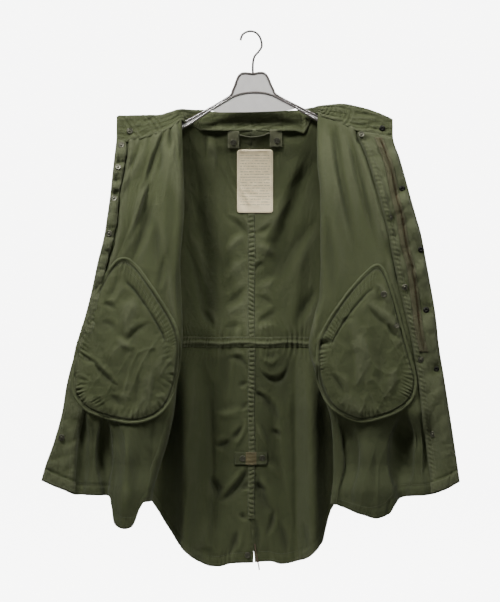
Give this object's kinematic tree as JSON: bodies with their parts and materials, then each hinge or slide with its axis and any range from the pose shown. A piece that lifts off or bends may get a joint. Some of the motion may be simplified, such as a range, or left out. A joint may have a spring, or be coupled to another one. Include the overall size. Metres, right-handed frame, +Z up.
{
  "type": "fishtail parka on a clothes hanger",
  "caption": "Long olive cotton parka shell with a fishtail back, hung open on a clear hanger with both fronts turned back to show the inside.",
  "frame": {"origin": "inner top of the hanger's hook, where it sits on a rail", "axes": "+Z up, -Y towards the viewer of the open front, +X to the viewer's right"},
  "size_m": [0.9724, 0.1933, 1.2739],
  "materials": {
    "shell_cotton": "washed olive green cotton sateen, matt, puckered along its seams",
    "binding_cotton": "dark olive bias binding and tabs",
    "bronze_tape": "brown woven tape and cord",
    "label_cloth": "cream woven label, bare",
    "snap_brass": "blackened brass, worn at the rims",
    "hanger_plastic": "clear grey moulded plastic",
    "hook_wire": "bright plated wire"
  },
  "bodies": {
    "root": {"back_left": "shell_cotton", "back_right": "shell_cotton", "front_left": "shell_cotton", "front_right": "shell_cotton", "sleeve_left": "shell_cotton", "sleeve_right": "shell_cotton", "cuff_left": "shell_cotton", "cuff_right": "shell_cotton", "collar": "shell_cotton", "placket_left": "shell_cotton", "placket_right": "shell_cotton", "bag_left": "shell_cotton", "bag_right": "shell_cotton", "pocket_flap_left": "shell_cotton", "pocket_flap_right": "shell_cotton", "back_seam": "shell_cotton", "waist_casing": "shell_cotton", "bag_binding_left": "binding_cotton", "bag_binding_right": "binding_cotton", "neck_tab_left": "binding_cotton", "neck_tab_right": "binding_cotton", "neck_loop": "binding_cotton", "tail_tab": "binding_cotton", "zip_tape": "bronze_tape", "tail_cord": "bronze_tape", "label": "label_cloth", "stud_left_1": "snap_brass", "stud_left_2": "snap_brass", "stud_left_3": "snap_brass", "stud_left_4": "snap_brass", "stud_left_5": "snap_brass", "stud_left_6": "snap_brass", "stud_right_1": "snap_brass", "stud_right_2": "snap_brass", "stud_right_3": "snap_brass", "stud_right_4": "snap_brass", "stud_right_5": "snap_brass", "socket_right_1": "snap_brass", "socket_right_2": "snap_brass", "socket_right_3": "snap_brass", "socket_right_4": "snap_brass", "socket_right_5": "snap_brass", "snap_neck_1": "snap_brass", "snap_neck_2": "snap_brass", "snap_tail_1": "snap_brass", "snap_tail_2": "snap_brass", "snap_hem_1": "snap_brass", "snap_bag_1": "snap_brass", "snap_bag_2": "snap_brass", "hanger_body": "hanger_plastic", "hanger_hook": "hook_wire"}
  },
  "joints": []
}
